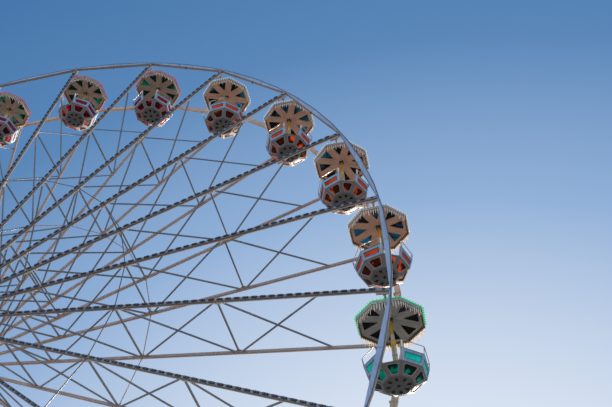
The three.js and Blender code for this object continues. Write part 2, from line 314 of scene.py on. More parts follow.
def around_wheel(skin, angles):
    """Copies of a skin made along a spoke: X along the radius, Y along the axle, Z round the rim."""
    c, s, n = np.cos(angles), np.sin(angles), 0 * angles
    turns = np.stack([np.stack([c, n, s], -1), np.stack([n, n + 1, n], -1), np.stack([-s, n, c], -1)], 1)
    return repeated(skin, turns, (0, 0, hub_height))


rim_radius, rim_depth, rim_width, rim_inner = 16.075, 0.065, 0.12, 1.165
rim_outer = rim_inner + rim_width
mid_bay = rim_radius, (rim_radius - rim_depth) * np.cos(np.pi / spokes)
x_axis, y_axis, z_axis = np.eye(3)
bay_angles = spoke_angles + np.pi / spokes


def bolts(places, towards, radius=0.012, height=0.012):
    """Hexagon heads that stand on a surface."""
    places = np.atleast_2d(places)
    return bars(places - 0.002 * towards, places + height * towards, np.roll(towards, 1), circle(radius, 6))


def flange_pair(middle, along, facing, section, reach, gap=0.003, chamfer=0.003):
    """Two plates that face each other across a joint, each from the gap to the reach along its axis."""
    return bars(middle + np.outer([-reach, gap], along), middle + np.outer([-gap, reach], along),
                facing, section, chamfer)


def bolts_both_ways(spots, along, out, radius, height):
    """Bolts that stand out on both sides of a joint, that far from its middle."""
    return [bolts(spots + out * way * along, way * along, radius, height) for way in (-1, 1)]


plate_middle = rim_radius - 0.042
both_sides = ((-1, "near"), (1, "far"))


def rim_joint(side):
    """Two flange plates at mid-bay, a little proud of the front, that reach inwards with their bolts."""
    high, low = mid_bay[0] - 0.004, mid_bay[1] - 0.05
    middle = np.array([(high + low) / 2, side * (rim_inner + rim_width / 2), 0])
    plate = square(high - low, rim_width + 0.012, 0.006)
    plates = flange_pair(middle, z_axis, x_axis, plate, 0.016, 0.004, 0.002)
    spots = np.array([[low + 0.025, side * (rim_inner + y), 0] for y in (0.025, 0.06, 0.095)])
    return gather(plates, *bolts_both_ways(spots, z_axis, 0.015, 0.011, 0.010))


def rim_clamp(side):
    """A backing plate on the rim's face at a spoke's head."""
    face = np.array([plate_middle, side * rim_outer, 0])
    return bars(face - 0.32 * z_axis, face + 0.32 * z_axis, x_axis, square(0.042, 0.012, 0.003))


def rim_bolts(side):
    """Three bolts on round washers through each backing plate."""
    spots = [plate_middle, side * (rim_outer + 0.006), 0] + np.outer([-0.25, 0, 0.25], z_axis)
    washers = bars(spots, spots + 0.005 * side * y_axis, x_axis, circle(0.020, 10), 0.001)
    return gather(washers, bolts(spots + 0.004 * side * y_axis, side * y_axis, 0.014, 0.014))


rim_steel = steel_paint("rim_bolt_steel", (0.10, 0.11, 0.13), roughness=0.5, metallic=0.5)
for (side, name), slot, finish in zip(both_sides, ("rim_blue", "rim_tan"), (rim_blue, rim_tan)):
    piece(f"{name}_rim_joints", "wheel", slot, finish, around_wheel(rim_joint(side), bay_angles))
    piece(f"{name}_rim_plates", "wheel", slot, finish, around_wheel(rim_clamp(side), spoke_angles))
    piece(f"{name}_rim_bolts", "wheel", "hub_steel", rim_steel, around_wheel(rim_bolts(side), spoke_angles))

# A dark flat strip is welded along the near rim's front, at its outer edge.
turn = np.radians(5.0 * np.arange(72))[:, None]
strip = np.array([[-0.034, 0], [0.001, 0], [0.001, 0.010], [-0.034, 0.010]])
ring = np.stack([(rim_radius + strip[:, 0]) * np.cos(turn), -rim_outer - strip[:, 1] + 0.002 + 0 * turn,
                 (rim_radius + strip[:, 0]) * np.sin(turn) + hub_height], -1)
strip_steel = steel_paint("rim_strip_paint", (0.13, 0.15, 0.20), roughness=0.5)
piece("near_rim_strip", "wheel", "hub_steel", strip_steel, loft(ring[None], closed=True))


# The spoke frames: pairs of square tubes, near and far, braced by struts and flat crosses between
# them, welded, and sprayed in greys that go pale along each spoke's back edge, which the sun bleaches.
# Gusset plates join the struts, and thin tubes tie each frame to the next half-way out.
frame_paint = steel_paint("spoke_frame_paint", (0.74, 0.66, 0.60), depths=(
    (1.262, (0.40, 0.335, 0.32)), (1.13, (0.19, 0.21, 0.24)), (-1.12, (0.70, 0.63, 0.56)),
    (-1.222, (0.17, 0.155, 0.15)), (-1.2735, (0.26, 0.30, 0.36))))
dress([f"spoke_frame_{number:02d}" for number in range(1, spokes + 1)], frame_paint)

node_radii = [4.04, 7.38, 10.77]
spoke_half = 0.045


def spoke_middle(radius):
    """How far a spoke's middle line lies from the middle plane: it draws in a little towards the rim."""
    return 1.248 - 0.018 * np.asarray(radius) / rim_radius


def gussets():
    """At each strut's ends, a six-sided plate in the plane of the frame, with two bolts a side."""
    outline = np.array([[-0.13, 0], [0.13, 0], [0.13, 0.02], [0.05, 0.07], [-0.05, 0.07], [-0.13, 0.02]])
    face = 0.032
    rings, heads = [], []
    for radius in node_radii:
        for side in (-1, 1):
            edge = side * (spoke_middle(radius) - spoke_half)
            flat = np.stack([radius + outline[:, 0], edge - side * outline[:, 1], 0 * outline[:, 0]], 1)
            rings.append([flat + z * z_axis for z in (-face, face)])
            for x in (-0.09, 0.09):
                spot = np.array([radius + x, edge - side * 0.022, 0])
                heads += bolts_both_ways(spot, z_axis, face, 0.012, 0.010)
    return gather(loft(rings), *heads)


piece("spoke_gussets", "wheel", "frame_tan", frame_paint, around_wheel(gussets(), spoke_angles))


def ring_ties(side):
    """Tubes from each spoke to the next, with flattened lugs at their ends."""
    radius = node_radii[1]
    y = side * spoke_middle(radius)
    half = np.pi / spokes
    reach = radius * np.cos(half), radius * np.sin(half) - 0.04
    ends = [[reach[0], y, -reach[1]], [reach[0], y, reach[1]]]
    tube = bars(ends[0], ends[1], y_axis, circle(0.018))
    lugs = [bars([reach[0], y, way * (reach[1] - 0.10)], [reach[0], y, way * (reach[1] + 0.01)], y_axis,
                 square(0.012, 0.06)) for way in (-1, 1)]
    return gather(tube, *lugs)


piece("ring_ties", "wheel", "frame_tan", frame_paint,
      around_wheel(gather(ring_ties(-1), ring_ties(1)), bay_angles))


# The lamp strips on the near spokes: an aluminium rail, dark moulded housings clipped to it at even
# steps, each with two clear lenses, and the cable beside them.
lamp_pitch, lamp_start, lamp_count = 0.2725, 1.6075, 52
lamp_length, lamp_width, lamp_depth, rail_depth = 0.175, 0.07, 0.045, 0.02


def on_spoke(radius, out, across=0.0):
    """Points on the near spoke's front face, that far out from it and across it."""
    radius = np.asarray(radius, float)
    return np.stack([radius, -(spoke_middle(radius) + spoke_half + out), across + 0 * radius], -1)


def moulded(name, colour, roughness=0.45, depth=0.75, scale=6.0, coat=0.0):
    """Moulded plastic: noise drifts its shade and its gloss, and a fine noise roughens its skin."""
    material, add, place = shader(name)
    drift = noise(add, place, scale, 4.0)
    shade = blend(add, ramp(add, drift, 0.35, 0.68), colour, tuple(depth * c for c in colour))
    gloss = ramp(add, drift, 0, 1, roughness - 0.12, roughness + 0.15)
    grain = noise(add, place, 240.0)
    bump = add("Bump", {"Height": grain, "Strength": 0.1, "Distance": 0.001})
    surface = add("BsdfPrincipled", {"Base Color": shade, "Roughness": gloss, "Normal": bump,
                                     "Coat Weight": coat})
    add("OutputMaterial", {"Surface": surface})
    return material


def lamp_glass(name, colour, glow):
    """A lamp's cap: clear-coated plastic in the lamp's colour, lit from inside, uneven by noise."""
    material, add, place = shader(name)
    light = blend(add, noise(add, place, 30.0), colour, tuple(0.55 * c for c in colour))
    surface = add("BsdfPrincipled", {"Base Color": light, "Roughness": 0.15, "Coat Weight": 0.6,
                                     "Emission Color": light, "Emission Strength": glow})
    add("OutputMaterial", {"Surface": surface})
    return material


lamp_radii = lamp_start + lamp_pitch * np.arange(lamp_count)
lamp_middle = rail_depth + lamp_depth / 2
housings = bars(on_spoke(lamp_radii - lamp_length / 2, lamp_middle),
                on_spoke(lamp_radii + lamp_length / 2, lamp_middle),
                y_axis, square(lamp_depth, lamp_width, 0.012), 0.012)
lens_radii = np.concatenate([lamp_radii - 0.042, lamp_radii + 0.042])
lens_paths = np.stack([on_spoke(lens_radii, rail_depth + lamp_depth + out) for out in (-0.004, 0.006)], 1)
lenses = run(lens_paths, x_axis, circle(0.026, 8), [1, 0.8])
rail_start, rail_end, cable_end = 1.3, 15.72, 15.5
strip_rail = bars(on_spoke(rail_start, rail_depth / 2), on_spoke(rail_end, rail_depth / 2), y_axis,
                  square(rail_depth, 0.078))
cable = bars(on_spoke(rail_start, 0.01, 0.043), on_spoke(cable_end, 0.01, 0.043), y_axis, circle(0.008, 8))
rail_paint = steel_paint("lamp_rail_paint", (0.32, 0.365, 0.43), roughness=0.45, metallic=0.2)
piece("lamp_rails", "wheel", "pipe_pale", rail_paint, around_wheel(strip_rail, spoke_angles))
case_plastic = moulded("lamp_case_plastic", (0.018, 0.024, 0.045), 0.4)
piece("lamp_cases", "wheel", "lamp_case", case_plastic, around_wheel(gather(housings, cable), spoke_angles))
piece("lamp_lenses", "wheel", "lamp_white", lamp_glass("clear_lens", (0.16, 0.18, 0.24), 0.0),
      around_wheel(lenses, spoke_angles))


# The hub: a turned steel drum with pairs of plates that grip the spokes' roots, fins between them,
# and bolts through plates and spokes. Satin grey paint.
hub_paint = steel_paint("hub_paint", (0.20, 0.215, 0.24), roughness=0.5, metallic=0.2)
dress(["hub"], hub_paint)
fins = bars([0.50, -1.13, 0], [0.50, 1.13, 0], x_axis, square(0.16, 0.02))
hub_face = 1.3376
hub_bolts = [bolts([radius, side * hub_face, across], side * y_axis, 0.022, 0.022)
             for radius in (0.74, 1.04) for across in (-0.03, 0.03) for side in (-1, 1)]
piece("hub_fins", "wheel", "hub_steel", hub_paint, around_wheel(fins, bay_angles[::2]))
piece("hub_bolts", "wheel", "hub_steel", hub_paint, around_wheel(gather(*hub_bolts), spoke_angles))


# The gondolas' pins and columns: a pale steel tube turns in the spokes' heads and carries a dark
# cast block, and a yellow column with its clamp and a bundle of pale pipes runs down to the tub.
tub_turns = np.array([-94, -64, -70, -67, -138, -82, -97, -98, 0, 90, 0, 90,
                      0, 90, -20, -75, -120, -50, -100, -30, -90, -60, -140, -85])
hangs = {joint["child"]: joint["pos_m"] for joint in frame["joints"]}
tub_slots = ["tub_green", "tub_orange", "tub_crimson"]


def turns_z(degrees):
    """Turns about the upright axis, one for each angle."""
    c, s = np.cos(np.radians(degrees)), np.sin(np.radians(degrees))
    n = 0 * c
    return np.stack([np.stack([c, s, n], -1), np.stack([-s, c, n], -1), np.stack([n, n, n + 1], -1)], 1)


def hang(name, slots, finishes, skin, turned=False, stands=False, crease=35):
    """The piece on every gondola. Slots and finishes are one, or three: for the green, the orange
    and the crimson gondolas, which change every four. A turned piece follows its tub."""
    for number in range(spokes):
        group = (number + 3) // 4 % 3
        label = f"{number + 1:02d}"
        slot = slots if isinstance(slots, str) else slots[group]
        finish = finishes[group] if isinstance(finishes, list) else finishes
        turn = turns_z(tub_turns[number:number + 1] * turned)
        placed = repeated(skin, turn, hangs[f"cabin_{label}"])
        piece(f"{name}_{label}", f"cabin_{label}", slot, finish, placed,
              [f"gondola_{label}"] if stands else (), crease)


def by_group(make, name, colours, *rest, **more):
    """Three finishes of a kind, for the green, the orange and the crimson gondolas."""
    return [make(f"{name}_{group}", colour, *rest, **more)
            for group, colour in zip(("green", "orange", "crimson"), colours)]


def turned_part(profile, outline=circle(1.0, 16)):
    """A lathe shape: the outline scaled to each point's radius, at its height."""
    profile = np.asarray(profile, float)[:, None]
    height = np.broadcast_to(profile[..., 1:], (len(profile), len(outline), 1))
    return loft(np.concatenate([profile[..., :1] * outline, height], -1)[None])


yellow_paint = steel_paint("column_yellow_paint", (0.62, 0.40, 0.03), roughness=0.4, rounding=0.004)
pale_paint = steel_paint("pipe_pale_paint", (0.52, 0.50, 0.48), roughness=0.4, rounding=0.004)
dark_paint = steel_paint("rail_dark_paint", (0.045, 0.05, 0.06), roughness=0.38, rounding=0.003)
column = turned_part([
    (0.044, -0.09), (0.046, -0.10), (0.046, -0.39), (0.058, -0.395), (0.058, -0.425), (0.046, -0.43),
    (0.046, -0.60), (0.054, -0.61), (0.054, -0.63), (0.036, -0.64), (0.036, -0.84), (0.066, -0.85),
    (0.074, -0.86), (0.074, -1.03), (0.066, -1.04), (0.040, -1.05), (0.040, -2.325), (0.055, -2.335),
    (0.130, -2.350), (0.130, -2.363)])
clamp_bolts = [bolts([way * 0.072, y, z], way * x_axis, 0.011, 0.012)
               for way in (-1, 1) for y in (-0.03, 0.03) for z in (-0.90, -0.99)]
hang("column", "column_yellow", yellow_paint, gather(column, *clamp_bolts), turned=True, stands=True)

pipe_spots = 0.064 * np.stack([*circle(1.0, 6).T, np.zeros(6)], 1)
pipes = [bars(pipe_spots - 1.02 * z_axis, pipe_spots - 2.335 * z_axis, x_axis, circle(0.013, 8)),
         turned_part([(0.050, -0.64), (0.059, -0.65), (0.059, -0.83), (0.050, -0.84)], circle(1.0, 12))]
for height in (-1.35, -1.75, -2.15):
    pipes.append(turned_part([(0.078, height), (0.084, height - 0.005), (0.084, height - 0.03),
                              (0.078, height - 0.035)], circle(1.0, 12)))
hang("pipes", "pipe_pale", pale_paint, gather(*pipes), turned=True, crease=50)
pin = [bars([0, -1.157, 0], [0, 1.157, 0], x_axis, circle(0.040, 16)),
       bars([0, -0.20, 0], [0, 0.20, 0], x_axis, circle(0.056, 16))]
pin += [bars([0, way * 1.05, 0], [0, way * 1.098, 0], x_axis, circle(0.060, 16)) for way in (-1, 1)]
hang("pin", "pipe_pale", pale_paint, gather(*pin), stands=True)


# The umbrellas: eight moulded segments each, hollow wedges between a flat underside and a domed
# top, with a lip round each wedge window and ribs over the seams. A brown steel angle stiffens the
# edge from below, and a pale grey fascia is screwed to it outside.
eighth = np.pi / 8
apothem = 1.045 * np.cos(eighth)


def underside(out):
    """A segment's lower face falls evenly from the middle to the edge."""
    return -0.025 - 0.135 * out / apothem


def roof_top(out):
    """A segment's upper face falls by the power 1.5 of its share of the way out."""
    return -0.095 + 0.21 * (1 - np.clip(out / apothem, 0, 1) ** 1.5)


def outlines(corners, margins, radius, between=0):
    """Two matching outlines of flat polygons (panels, k, 2) that run counterclockwise: the edge, and a
    window set in by each side's margin, whose corners are arcs. Each corner gives five points: on the
    edge they are the arc's ends carried square across, the corner and the points half-way to it."""
    corners = np.asarray(corners, float)
    margins = np.broadcast_to(margins, corners.shape[:2])
    ahead = unit(np.roll(corners, -1, 1) - corners)
    inward = np.stack([-ahead[..., 1], ahead[..., 0]], -1)
    came, inward_came = np.roll(ahead, 1, 1), np.roll(inward, 1, 1)
    sides = np.stack([inward_came, inward], -2)
    depths = np.stack([np.roll(margins, 1, 1), margins], -1)
    inner = corners + np.linalg.solve(sides, depths[..., None])[..., 0]
    turn = np.arctan2(came[..., 0] * ahead[..., 1] - came[..., 1] * ahead[..., 0], (came * ahead).sum(-1))
    back = (radius * np.tan(turn / 2))[..., None]
    centre = inner - came * back + radius * inward_came
    swing = turn[..., None] * np.linspace(0, 1, 5)
    c, s = np.cos(swing), np.sin(swing)
    x, y = inward_came[..., None, 0], inward_came[..., None, 1]
    arc = centre[:, :, None] - radius * np.stack([c * x - s * y, s * x + c * y], -1)
    enter = corners + ((arc[:, :, 0] - corners) * came).sum(-1, keepdims=True) * came
    leave = corners + ((arc[:, :, 4] - corners) * ahead).sum(-1, keepdims=True) * ahead
    edge = np.stack([enter, (enter + corners) / 2, corners, (corners + leave) / 2, leave], 2)

    def with_between(runs):
        """The corners' points, with even steps along the straight stretch after each corner."""
        after = np.roll(runs[:, :, :1], -1, 1)
        share = np.linspace(0, 1, between + 2)[1:-1, None]
        more = runs[:, :, 4:] * (1 - share) + after * share
        return np.concatenate([runs, more], 2).reshape(len(corners), -1, 2)

    return with_between(edge), with_between(arc)


slope = np.tan(eighth)
seam = 0.002
segment = [[seam, 0], [apothem, -(apothem - seam) * slope], [apothem, (apothem - seam) * slope]]
segment_edge, wedge = (line[0] for line in outlines([segment], [[0.135, 0.142, 0.135]], 0.02, between=2))


def segment_ring(flat, surface, lift):
    """An outline of a segment laid on one of its faces and lifted off it."""
    return np.column_stack([flat, surface(flat[:, 0]) + lift])


stations = [(0, underside, 0), (0.5, underside, 0), (0.84, underside, 0), (0.87, underside, -0.010),
            (1, underside, -0.010), (1, underside, 0.02), (1, roof_top, -0.01), (1, roof_top, 0.008),
            (0.87, roof_top, 0.008), (0.84, roof_top, 0), (0.5, roof_top, 0), (0, roof_top, 0)]
rings = [segment_ring(segment_edge + share * (wedge - segment_edge), surface, lift)
         for share, surface, lift in stations]
eight_ways = turns_z(45.0 * np.arange(8))
segments = repeated(loft([rings], closed=True), eight_ways)


def octagon_ring(profile):
    """A section of distances to the flats and heights, carried round the umbrella's eight corners."""
    profile = np.asarray(profile, float)
    corner = circle(1 / np.cos(eighth), 8)[:, None]
    height = np.broadcast_to(profile[:, 1:], (8, len(profile), 1))
    return loft(np.concatenate([profile[:, :1] * corner, height], -1)[None], closed=True)


fascia = octagon_ring([(apothem + out, height) for out, height in (
    (0.001, -0.216), (0.007, -0.220), (0.008, -0.212), (0.008, -0.092), (0.0, -0.084), (-0.014, -0.086),
    (-0.014, -0.100), (0.001, -0.105))])
edge_angle = octagon_ring([(apothem + out, height) for out, height in (
    (0.002, -0.214), (0.002, -0.160), (-0.056, -0.155), (-0.058, -0.173), (-0.012, -0.181), (-0.008, -0.188),
    (-0.008, -0.214))])
reach = np.linspace(0.10, 1.035, 6)
rib_path = np.stack([reach, 0 * reach, roof_top(reach * np.cos(eighth)) + 0.004], -1)
seam_ways = turns_z(22.5 + 45.0 * np.arange(8))
ribs = repeated(run([rib_path], z_axis, square(0.018, 0.034)), seam_ways)
under_path = np.stack([reach, 0 * reach, underside(reach * np.cos(eighth)) - 0.003], -1)
under_ribs = repeated(run([under_path], z_axis, square(0.014, 0.05, 0.005)), seam_ways)
finial = turned_part([(0.115, 0.100), (0.115, 0.118), (0.095, 0.126), (0.050, 0.134), (0.036, 0.150),
                      (0.030, 0.168), (0.014, 0.178), (0.003, 0.180)])
canopy_colours = [(0.32, 0.36, 0.38), (0.57, 0.405, 0.33), (0.36, 0.31, 0.27)]
canopy_plastic = by_group(moulded, "umbrella_shell", canopy_colours, 0.5, 0.8, 3.0)
hang("umbrella", "roof_shell", canopy_plastic, gather(segments, ribs, under_ribs, finial), stands=True)
fascia_paint = steel_paint("fascia_paint", (0.40, 0.43, 0.46), roughness=0.5, rounding=0.004)
hang("fascia", "pipe_pale", fascia_paint, fascia, stands=True)
angle_colours = [(0.10, 0.09, 0.075), (0.17, 0.11, 0.08), (0.15, 0.10, 0.075)]
angle_paint = by_group(steel_paint, "edge_angle_paint", angle_colours, roughness=0.5, rounding=0.004)
hang("edge_angle", "lamp_case", angle_paint, edge_angle, stands=True)
block = bars([0, 0, -0.025], [0, 0, -0.125], x_axis, square(0.15, 0.15, 0.015), 0.01)
block_bolts = [bolts([x, y, -0.125], -z_axis, 0.012, 0.01) for x in (-0.055, 0.055) for y in (-0.055, 0.055)]
hang("column_block", "rail_dark", dark_paint, gather(block, *block_bolts))


# The umbrella's windows: one wedge of tinted, slightly cloudy plastic in each segment.
def cloudy_pane(name, colour, through, dark=0.45, patches=(0.3, 0.7), scale=2.6, glow=0.0, roughness=0.4,
                lit=None):
    """Tinted plastic that lets light through. Noise between the two levels of its patches turns it
    from its full colour to a dark share of it, and clouds its gloss. It is a mix of a glossy surface
    and light scattered through to the far side, in the tint or in the colour lit."""
    material, add, place = shader(name)
    cloud = noise(add, place, scale, 3.0)
    tint = blend(add, ramp(add, cloud, *patches), colour, tuple(dark * c for c in colour))
    gloss = ramp(add, cloud, 0, 1, roughness - 0.1, roughness + 0.15)
    ripple = noise(add, place, 9.0)
    bump = add("Bump", {"Height": ripple, "Strength": 0.15, "Distance": 0.01})
    face = add("BsdfPrincipled", {"Base Color": tint, "Roughness": gloss, "Specular IOR Level": 0.2,
                                  "Emission Color": tint, "Emission Strength": glow, "Normal": bump})
    passed = add("BsdfTranslucent", {"Color": lit or tint, "Normal": bump})
    both = add("MixShader", {"Fac": through, 1: face, 2: passed})
    add("OutputMaterial", {"Surface": both})
    return material


wedge_middle = wedge.mean(0)
pane_stations = [(0.3, underside, 0.004), (0.7, underside, 0.008), (1.01, underside, 0.012),
                 (1.01, roof_top, -0.012), (0.7, roof_top, -0.004), (0.3, roof_top, 0.002)]
rings = [segment_ring(wedge_middle + share * (wedge - wedge_middle), surface, lift)
         for share, surface, lift in pane_stations]
wedge_pane = loft([rings])
roof_tints = [cloudy_pane(f"umbrella_pane_{name}", colour, 0.5, 0.06, (0.36, 0.49), 1.6) for name, colour in
              (("plum", (0.035, 0.014, 0.08)), ("blue", (0.012, 0.31, 0.52)), ("green", (0.0, 0.72, 0.46)))]
hang("umbrella_panes", "roof_pane", roof_tints, repeated(wedge_pane, eight_ways))


# The fringe under the umbrella's edge: flat tapered teeth cut from pale vinyl, long and short by
# turns, riveted inside the edge angle.
teeth = np.arange(10)
tooth_v = 0.078 * (teeth - 4.5)
tooth_root = -0.19
tooth_tip = np.where(teeth % 2 == 0, -0.50, -0.42)
share = np.array([0, 0.6, 1])
tooth_z = tooth_root + share * (tooth_tip[:, None] - tooth_root)
tooth_paths = np.stack([apothem - 0.012 + 0 * tooth_z, tooth_v[:, None] + 0 * tooth_z, tooth_z], -1)
tooth_section = np.array([[0.0015, -0.02], [0.0015, 0.02], [-0.0015, 0.02], [-0.0015, -0.02]])
fringe = repeated(run(tooth_paths, x_axis, tooth_section, [1, 0.8, 0.25]), eight_ways)
fringe_vinyl = cloudy_pane("fringe_vinyl", (0.97, 0.95, 0.92), 0.42, 0.85, scale=4.0, lit=(0.96, 0.82, 0.60))
hang("fringe", "fringe", fringe_vinyl, fringe)


# The lamps round the umbrella's edge: eight round caps to a side on short necks that screw into the
# fascia, lit in green, white or red.
lamp_v = 0.1005 * (np.arange(8) - 3.5)
lamp_out = apothem + 0.006 + np.array([0, 0.018, 0.034, 0.048, 0.056])
lamp_level = -0.112
lamp_paths = np.stack(np.broadcast_arrays(lamp_out, lamp_v[:, None], lamp_level), -1)
edge_lamps = repeated(run(lamp_paths, z_axis, circle(0.033, 7), [0.5, 0.9, 1, 0.7, 0.2]), eight_ways)
lamp_lights = [lamp_glass("lamp_cap_green", (0.01, 0.62, 0.20), 0.9),
               lamp_glass("lamp_cap_white", (0.80, 0.80, 0.78), 0.45),
               lamp_glass("lamp_cap_red", (0.60, 0.03, 0.10), 0.5)]
hang("edge_lamps", ["lamp_green", "lamp_white", "lamp_red"], lamp_lights, edge_lamps, crease=60)


# The tub's lower band: eight sloping steel frames, dark grey, welded at their edges, each with a
# paler bead round a rounded window.
tub_corners = np.radians([-19.5, 19.5, 66.5, 113.5, 160.5, 199.5, 246.5, 293.5])
tub_plan = np.stack([np.cos(tub_corners), np.sin(tub_corners)], -1)
floor_level, waist_level, top_level = (0.445, -2.415), (0.825, -2.182), (0.935, -1.840)


def band(low, high, sides):
    """The corners of the tub's flat sides between two levels, counterclockwise from outside."""
    def at(level, number):
        return np.column_stack([level[0] * tub_plan[number % 8], np.full(len(number), level[1])])
    return np.stack([at(low, sides), at(low, sides + 1), at(high, sides + 1), at(high, sides)], 1)


def panel(corners, margins, radius, stations, window=False):
    """Flat panels in space. A frame is a closed run of stations (share of the way from the edge to the
    window, height over the face). A window is an open run of (share of its size, height)."""
    u = unit(corners[:, 1] - corners[:, 0])
    out = unit(np.cross(u, corners[:, -1] - corners[:, 0]))
    v = np.cross(out, u)
    local = corners - corners[:, :1]
    flat = np.stack([(local * u[:, None]).sum(-1), (local * v[:, None]).sum(-1)], -1)
    edge, inner = outlines(flat, margins, radius)
    start = inner.mean(1, keepdims=True) if window else edge
    rings = []
    for share, height in stations:
        line = (start + share * (inner - start))[..., None]
        rings.append(corners[:, :1] + line[:, :, 0] * u[:, None] + line[:, :, 1] * v[:, None]
                     + height * out[:, None])
    return loft(np.stack(rings, 1), closed=not window)


all_sides = np.arange(8)
lower = band(floor_level, waist_level, all_sides)
lower_margins, lower_radius = [0.074, 0.080, 0.074, 0.080], 0.045
lower_frames = panel(lower, lower_margins, lower_radius,
                     [(0, -0.030), (0, -0.004), (0.05, 0), (0.78, 0), (0.78, -0.030)])
frame_grey = steel_paint("tub_frame_paint", (0.19, 0.185, 0.20), roughness=0.68, rounding=0.005)
hang("lower_frames", "frame_grey", frame_grey, lower_frames, turned=True, stands=True)
beads = panel(lower, lower_margins, lower_radius,
              [(0.77, -0.028), (0.79, 0.010), (0.93, 0.012), (1, 0.004), (1, -0.028)])
bead_paint = steel_paint("window_bead_paint", (0.36, 0.36, 0.40), roughness=0.7, rounding=0.003)
hang("window_beads", "frame_grey", bead_paint, beads, turned=True)
lower_panes = panel(lower, lower_margins, lower_radius,
                    [(0.3, -0.026), (1, -0.024), (1, -0.018), (0.75, -0.010), (0.3, -0.006)], window=True)
lower_colours = [(0.0, 0.30, 0.22), (0.80, 0.13, 0.03), (0.60, 0.012, 0.06)]
lower_tints = by_group(cloudy_pane, "lower_pane", lower_colours, 0.5, 0.05, (0.38, 0.50), 3.0, 0.5)
hang("lower_panes", tub_slots, lower_tints, lower_panes, turned=True)


# The tub's upper band: three upright framed panels on each side between the doorways, light
# blue-grey steel with a wide post beside the doorway, and jamb posts that rise above them.
panel_sides = np.array([1, 2, 3, 5, 6, 7])
upper = band(waist_level, top_level, panel_sides)
wide, narrow, rail = 0.125, 0.062, 0.088
upper_margins = [[rail, wide if side in (3, 7) else narrow, rail, wide if side in (1, 5) else narrow]
                 for side in panel_sides]
upper_frames = panel(upper, upper_margins, 0.022,
                     [(0, -0.045), (0, -0.005), (0.05, 0), (0.91, 0), (1, -0.012), (1, -0.045)])


def on_tub(level, side, share):
    """A point on the tub's straight side, that share of the way from one corner to the next."""
    flat = (1 - share) * tub_plan[side % 8] + share * tub_plan[(side + 1) % 8]
    return np.array([*(level[0] * flat), level[1]])


doorway_edges = [(1, 0.045), (3, 0.955), (5, 0.045), (7, 0.955)]
jamb_levels = [(0.806, -2.170), (0.914, -1.840), (0.948, -1.600)]
jamb_paths = np.array([[on_tub(level, side, share) for level in jamb_levels]
                       for side, share in doorway_edges])
outward = jamb_paths * [1, 1, 0]
jambs = run(jamb_paths, outward, square(0.034, 0.044, 0.005))
frame_blue = steel_paint("panel_frame_paint", (0.28, 0.45, 0.61), roughness=0.65, rounding=0.005)
hang("upper_frames", "frame_blue", frame_blue, upper_frames, turned=True, stands=True)
post_paint = steel_paint("door_post_paint", (0.85, 0.80, 0.72), roughness=0.5, rounding=0.005)
hang("door_posts", "pipe_pale", post_paint, jambs, turned=True, stands=True)
upper_panes = panel(upper, upper_margins, 0.022,
                    [(0.3, -0.032), (1, -0.030), (1, -0.024), (0.8, -0.018), (0.3, -0.014)], window=True)
upper_colours = [(0.0, 0.92, 0.76), (0.76, 0.10, 0.035), (0.38, 0.012, 0.055)]
upper_tints = by_group(cloudy_pane, "upper_pane", upper_colours, 0.45, 0.6, glow=0.22)
hang("upper_panes", tub_slots, upper_tints, upper_panes, turned=True)


# The tub's floor: a dark moulded tray on the steel, slightly crowned, with eight drop-shaped lenses
# in bezels round a middle one.
floor_tray = turned_part([(0.430, -2.361), (0.438, -2.365), (0.445, -2.411), (0.441, -2.417),
                          (0.400, -2.422), (0.12, -2.425)], tub_plan)
angle = 2 * np.pi * np.arange(12) / 12
drop = np.stack([0.072 * np.cos(angle), 0.052 * np.sin(angle) * (1 + 0.35 * np.cos(angle))], -1)
round_drop = 0.056 * np.stack([np.cos(angle), np.sin(angle)], -1)


def lens_and_bezel(outline, out):
    """A drop's outline, scaled and lowered step by step: an open run for the lens, a closed one for
    the bezel round it."""
    def ring(share, height):
        return np.column_stack([share * outline + [out, 0], np.full(12, height)])
    lens = loft([[ring(1, -2.417), ring(1, -2.426), ring(0.7, -2.429), ring(0.2, -2.430)]])
    bezel = loft([[ring(0.98, -2.417), ring(0.98, -2.431), ring(1.10, -2.433), ring(1.20, -2.427),
                   ring(1.20, -2.417)]], closed=True)
    return lens, bezel


side_middles = np.degrees(tub_corners + np.roll(tub_corners, -1)) / 2
side_middles[-1] -= 180
side_ways = turns_z(side_middles)
drop_lens, drop_bezel = lens_and_bezel(drop, 0.285)
middle_lens, middle_bezel = lens_and_bezel(round_drop, 0.0)
tray_plastic = moulded("floor_tray_plastic", (0.105, 0.118, 0.130), 0.6, 0.7, 8.0)
hang("floor_tray", "floor_grey", tray_plastic,
     gather(floor_tray, repeated(drop_bezel, side_ways), middle_bezel), turned=True, stands=True)
lens_colours = [(0.0, 0.035, 0.03), (0.03, 0.006, 0.006), (0.02, 0.003, 0.008)]
lens_tints = by_group(cloudy_pane, "floor_lens", lens_colours, 0.3, 0.3)
hang("floor_lenses", tub_slots, lens_tints, gather(repeated(drop_lens, side_ways), middle_lens), turned=True)


# The benches: two C-shaped moulded seats on each tub, back, seat and front in one shell, with a
# rounded front edge. The doorways lie between them.
seat_section = np.array([
    (0.880, -1.862), (0.868, -1.880), (0.812, -2.035), (0.790, -2.046), (0.462, -2.036), (0.438, -2.044),
    (0.430, -2.062), (0.430, -2.357), (0.446, -2.357), (0.448, -2.072), (0.470, -2.058), (0.792, -2.070),
    (0.826, -2.058), (0.890, -1.882), (0.892, -1.866)])


def seat(first_side):
    """The section carried along the tub's three straight sides between two doorways."""
    spots = [(first_side, share) for share in (0.09, 0.3, 0.6, 0.9)]
    spots += [(first_side + 1, share) for share in (0.1, 0.5, 0.9)]
    spots += [(first_side + 2, share) for share in (0.1, 0.4, 0.7, 0.91)]
    return loft([[[on_tub(level, *spot) for level in seat_section] for spot in spots]])


